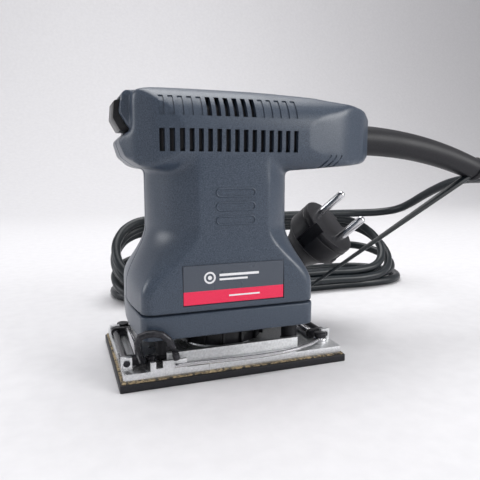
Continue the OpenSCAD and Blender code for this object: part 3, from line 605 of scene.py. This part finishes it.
grip_side = [
    (-30, 94, 0), (31, 94, 0), (44, 95.1, 20), (67, 96.9, 10), (75, 98, 5), (81.2, 102.6, 5),
    (81.2, 119.4, 6), (74.5, 123.8, 8), (60, 126, 40), (40, 128.5, 60), (12, 130.2, 60), (-14, 130.4, 60),
    (-33, 130.1, 10), (-44.4, 129, 4),
    (-44.4, 112, 1), (-49.9, 107.4, 2.5), (-47.4, 100.2, 4), (-41, 95.6, 6),
]
grip_section = both_sides([(31.5, 94, 11), (31.5, 131, 24)])
grip_front = [
    (-50.5, -12, 4), (-44.4, -20, 6), (-36, -27.5, 12), (-24, -31.9, 20), (32, -31.9, 60),
    (56, -29, 40), (70, -22.5, 14), (79, -13, 7), (82, -8, 2),
]
grip_plan = grip_front + [(x, -y, r) for x, y, r in reversed(grip_front)]
bezel_side = [(-45.2, 113.4, 0.8), (-38, 113, 0), (-38, 129.5, 0), (-47.5, 128.8, 2.2), (-49, 119.8, 1.5)]
base_plan = [
    (-44.4, -base_half, 5), (38.6, -base_half, 5), (41, 0, 160),
    (38.6, base_half, 5), (-44.4, base_half, 5), (-47.2, 0, 160),
]


def flare(z):
    """How far the lower housing has opened from the column (0) to the base (1) at a height."""
    t = max(0.0, min(1.0, (68.5 - z) / 29))
    return t * t * (3 - 2 * t)


def lower_ring(z, by, flats=18, turns=40):
    """The lower housing's outline at a height, with its faces moved in by some millimetres."""
    radius, flat, half = column_r - by, column_flat - by, base_half - by
    edge = math.asin(flat / radius)
    reach = radius * math.cos(edge)
    left, right, corner = -44.4 + by, 38.6 - by, max(5 - by, 1)
    column, base = [], []
    for i in range(flats):
        u = i / flats
        column.append((column_x - reach + 2 * reach * u, -flat))
        base.append((left + corner + (right - left - 2 * corner) * u, -half))
    for i in range(turns):
        v = i / turns
        a = edge * (2 * v - 1)
        column.append((column_x + radius * math.cos(a), radius * math.sin(a)))
        if v < 0.2:
            b = math.pi / 2 * (v / 0.2 - 1)
            base.append((right - corner + corner * math.cos(b), -half + corner + corner * math.sin(b)))
        elif v <= 0.8:
            w = (v - 0.5) / 0.3
            base.append((right + 2.4 * (1 - w * w), w * (half - corner)))
        else:
            b = math.pi / 2 * (v - 0.8) / 0.2
            base.append((right - corner + corner * math.cos(b), half - corner + corner * math.sin(b)))
    # The far flat and the left side are the same lines turned half way round about each outline's own middle.
    column += [(2 * column_x - x, -y) for x, y in column]
    base += [(left + right - x, -y) for x, y in base]
    t = flare(z)
    return [((1 - t) * c[0] + t * b[0], (1 - t) * c[1] + t * b[1]) for c, b in zip(column, base)]


def lower_body(by, low, top):
    """Column and base in one lofted solid."""
    heights = [low + (40 - low) * k / 3 for k in range(4)]
    heights += [40 + 1.5 * k for k in range(1, 20)] + [76, 88, top]
    around = len(lower_ring(50, by))
    bpy.ops.mesh.primitive_grid_add(x_subdivisions=around, y_subdivisions=len(heights) - 1, size=2)
    piece = fresh("lower_body")
    rings = [lower_ring(z, by) for z in heights]
    for vertex in piece.data.vertices:
        i = round((vertex.co.x + 1) / 2 * around) % around
        j = round((vertex.co.y + 1) / 2 * (len(heights) - 1))
        vertex.co = mm(*rings[j][i], heights[j])
    edit_all(piece)
    bpy.ops.mesh.remove_doubles(threshold=mm(0.01))
    bpy.ops.mesh.fill_holes(sides=0)
    bpy.ops.mesh.select_all(action="SELECT")
    bpy.ops.mesh.normals_make_consistent(inside=False)
    done()
    return piece


def grip_body(by, name="grip"):
    """The grip, kept in common by its side view, cross-section and plan."""
    grip = prism(name, shrunk(grip_side, by), "xz", -45, 45)
    return combine(grip, [
        prism("section", shrunk(grip_section, by), "yz", -90, 120, 12),
        prism("plan", shrunk(grip_plan, by), "xy", 80, 140),
    ], "INTERSECT")


def body(by, low):
    """The closed outside of the housing, or with its faces moved in, the hollow inside it."""
    return combine(grip_body(by), [lower_body(by, low, 102)], "UNION")


def shell():
    """The whole housing, hollow, with solid bosses where its screws go."""
    outside = body(0, base_z)
    combine(outside, [prism("bezel", bezel_side, "xz", -15, 15)], "UNION")
    inside = body(wall, base_z - 6)
    combine(inside, [rod("boss", (x, 24, z), 5, 34, (90, 0, 0), 32) for x, z in boss_spots], "DIFFERENCE")
    return combine(outside, [inside], "DIFFERENCE")


def duplicate(piece, name):
    only(piece)
    bpy.ops.object.duplicate()
    return fresh(name)


def half_of(whole, name, side):
    """The front (-1) or back (1) half of the housing, closed, with its edges eased."""
    half = duplicate(whole, name)
    edit_all(half)
    bpy.ops.mesh.bisect(
        plane_co=mm(0, side * 0.03, 0), plane_no=(0, -side, 0), use_fill=True, clear_outer=True,
    )
    done()
    modify(half, "REMESH", mode="VOXEL", voxel_size=mm(0.7))
    modify(half, "SMOOTH", factor=0.5, iterations=4)
    seam = half.vertex_groups.new(name="blend")
    for vertex in half.data.vertices:
        x, y, z = vertex.co * 1000
        under = 1.6 * (1 - abs(z - 96) / 7) if -42 < x < 40 else 0
        rear = min((x - 42) / 6, (79.5 - x) / 4)
        nose = min((-37 - x) / 3, (abs(y) - 15.6) / 2) if z > 98 else 0
        share = max(under, rear, nose)
        if share > 0:
            seam.add([vertex.index], min(1, share), "REPLACE")
    modify(half, "SMOOTH", factor=0.6, iterations=34, vertex_group="blend")
    half.vertex_groups.clear()
    return half


def slot_x(i):
    """Left edge of the vent slot with this number."""
    return slot_first + i * (slot_last - slot_first - slot_width) / (slot_count - 1)


def vents(side):
    """Cutters for one side's open slots."""
    cutters = []
    for i in range(slot_count):
        x, x_end = slot_x(i), slot_x(i) + slot_width
        low, high = sorted((side * 24, side * 42))
        cutters.append(block("slot", (x, low, 102.3), (x_end, high, 112.0)))
        if i in upper_open:
            low, high = low - 2 * (side > 0), high + 2 * (side < 0)
            cutters.append(block("slot", (x, low, upper_low), (x_end, high, upper_high)))
    return cutters


def skin_marks(side):
    """Shallow cutters that follow the surface: closed vents and three slanted grip grooves."""
    marks = []
    for i in [i for i in range(slot_count) if i not in upper_open]:
        low, high = sorted((side * 15, side * 42))
        marks.append(block("mark", (slot_x(i), low, upper_low), (slot_x(i) + slot_width, high, upper_high)))
    for x in (45.0, 48.2, 51.4):
        low, high = sorted((side * 9, side * 42))
        groove_cut = block("mark", (x, low, 92), (x + 0.9, high, 102.4))
        edit_all(groove_cut)
        bpy.ops.transform.rotate(value=math.radians(-36), orient_axis="Y", center_override=mm(x, 0, 98.5))
        done()
        marks.append(groove_cut)
    return marks


def skin(depth):
    """A thin layer over the grip that shallow marks are cut from."""
    return combine(grip_body(-0.6, "skin"), [grip_body(depth, "under_skin")], "DIFFERENCE")


def pill(z):
    """A fine racetrack bead standing on the flat of the column."""
    bpy.ops.mesh.primitive_torus_add(
        major_radius=mm(1.75), minor_radius=mm(0.42), major_segments=32, minor_segments=10,
        location=mm(-0.9, -column_flat, z), rotation=(math.radians(90), 0, 0),
    )
    ring = settle(fresh("pill"))
    middle = mm(-0.9)
    for vertex in ring.data.vertices:
        vertex.co.x += mm(7.4) if vertex.co.x > middle else -mm(7.4)
    return ring


def cut_details(half, side):
    """Opens and marks one half: vents, switch window, label seat, guard hole, beads or screw seats."""
    face = side * base_half
    cutters = vents(side)
    cutters.append(block("window", *window))
    cutters.append(block("label_seat", (-26.4, face - 0.95, 34.6), (22.3, face + 0.95, 53)))
    cutters.append(rod("guard_hole", (86, 0, guard_start.z), 8.5, 26, (0, 90, 0), 64))
    if side < 0:
        combine(half, [join([pill(z) for z in (72, 78.2, 84.4)])], "UNION")
    else:
        cutters += [rod("screw_seat", (x, 24.5, z), 3.5, 31, (90, 0, 0), 32) for x, z in boss_spots]
    combine(half, [join(cutters)], "DIFFERENCE")
    marks = skin(0.45)
    combine(marks, [join(skin_marks(side))], "INTERSECT")
    combine(half, [marks], "DIFFERENCE")
    return smooth(half, 40)


whole = shell()
for side, name, node in ((-1, "front_shell", "housing_front"), (1, "back_shell", "housing_back")):
    half = dress(cut_details(half_of(whole, name, side), side), "slate_plastic")
    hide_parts(node)
    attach(half, "housing")
bpy.data.objects.remove(whole)


def painted_vent_shade(side):
    """A dark sheet just inside the vents: painted shade that keeps the inside behind the slots as dark as
    shadow.
    """
    shade_layer = combine(grip_body(wall + 0.2, "painted_vent_shade"), [grip_body(wall + 0.6)], "DIFFERENCE")
    low, high = sorted((side * 16, side * 34))
    return combine(shade_layer, [block("window", (-36, low, 101), (31, high, 127))], "INTERSECT")


# Painted shade: these dark sheets behind the vents stand in for the shadow inside the housing, not for a part
# of the sander.
for side, name in ((-1, "front_gauze"), (1, "back_gauze")):
    shade_layer = dress(painted_vent_shade(side), "black_plastic")
    shade_layer.name = name
    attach(shade_layer, "housing")


def skirt():
    """The skirt under the groove, with the lip that stands up inside the shells."""
    lip = wall + 0.15
    top = base_z - groove
    outer = prism("lower_skirt", base_plan, "xy", skirt_z, top, 12)
    modify(outer, "BEVEL", width=mm(0.9), segments=4, limit_method="ANGLE", angle_limit=math.radians(50))
    combine(outer, [prism("lip", shrunk(base_plan, lip), "xy", top - 1, base_z + 2.4)], "UNION")
    combine(outer, [
        prism("under", shrunk(base_plan, wall), "xy", skirt_z - 1, skirt_z + 0.8),
        prism("hollow", shrunk(base_plan, lip + 1.8), "xy", skirt_z + 3.3, base_z + 5),
        rod("eye", (axis_x, 0, 22), 23, 10, sides=96),
    ], "DIFFERENCE")
    return smooth(outer, 40)


def under_skirt_shadow():
    """Painted shade: a black collar hung under the skirt's floor, round the pad bearing, with ribs on its
    outside, that darkens the space under the skirt as shadow would.
    """
    sleeve = turned("under_skirt_shadow", [(11, 22.6), (19.4, 22.6), (19.4, 25.4), (20.9, 25.4)], 96)
    combine(sleeve, [rod("bore", (0, 0, 16), 20.8, 14, sides=96)], "DIFFERENCE")
    ribs = []
    for k in range(16):
        rib = block("rib", (22.3, -0.5, 11.4), (24.2, 0.5, 20.4))
        edit_all(rib)
        turn = math.radians(22.5 * k + 9)
        bpy.ops.transform.rotate(value=turn, orient_axis="Z", center_override=(0, 0, 0))
        done()
        ribs.append(rib)
    shade_collar = join([sleeve] + ribs)
    edit_all(shade_collar)
    bpy.ops.transform.translate(value=mm(axis_x, 0, 0))
    done()
    return smooth(shade_collar, 30)


# The black collar under the skirt is painted shadow, not a part of the sander.
shade_collar = dress(under_skirt_shadow(), "black_plastic")
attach(shade_collar, "housing")

lower_skirt = dress(skirt(), "slate_plastic")
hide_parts("base_skirt")
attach(lower_skirt, "housing")


# ---- label print -----------------------------------------------------------------------------

def label_print():
    """A plain ring with a dot in it and three bars, with no lettering."""
    y = -base_half + 0.28
    badge = (-14, y, 46.8)
    bpy.ops.mesh.primitive_torus_add(
        major_radius=mm(2.3), minor_radius=mm(0.42), major_segments=48, minor_segments=8,
        location=mm(*badge), rotation=(math.radians(90), 0, 0),
    )
    ring = settle(fresh("label_print"))
    dot = rod("dot", badge, 0.95, 0.3, (90, 0, 0), 24)
    bars = [
        block("bar", (x0, y - 0.06, z0), (x1, y + 0.2, z1))
        for x0, x1, z0, z1 in ((-9.5, 9.5, 47.2, 48.3), (-9.5, 4, 45.3, 46.2), (-5, 10, 37.7, 38.4))
    ]
    edit_all(ring)
    bpy.ops.transform.resize(value=(1, 0.3, 1), center_override=mm(*badge))
    done()
    return join([ring, dot] + bars)


label_device = dress(label_print(), "label_silver", pale_paint)
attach(label_device, "housing")


# ---- eased edges on the metalwork ------------------------------------------------------------

def eased(node, width, segments=2, angle=38):
    """A copy of a model piece with its edges taken off, in place of the sharp one."""
    piece = duplicate(frame["nodes"][node], node + "_eased")
    edit_all(piece)
    bpy.ops.mesh.remove_doubles(threshold=mm(0.002))
    bpy.ops.mesh.dissolve_limited(angle_limit=math.radians(1))
    done()
    modify(piece, "BEVEL", width=mm(width), segments=segments, limit_method="ANGLE",
           angle_limit=math.radians(angle), use_clamp_overlap=True)
    smooth(piece, 40)
    dress(piece, slot_of[node])
    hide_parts(node)
    return piece


body_of = {}
for body_name, nodes in frame["record"]["behaviour"]["bodies"].items():
    for node in nodes:
        body_of[node] = body_name

edge_widths = {
    "platen": 0.22, "rubber_pad": 0.25, "pad_backing": 0.12, "switch_rocker": 0.45, "rubber_legs": 0.4,
    "left_clamp_frame": 0.2, "right_clamp_frame": 0.2, "spring_screws": 0.3, "stop_screws": 0.25,
    "shell_screws": 0.25, "left_clamp_roller": 0.2, "right_clamp_roller": 0.2,
}
for node, width in edge_widths.items():
    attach(eased(node, width), body_of[node])
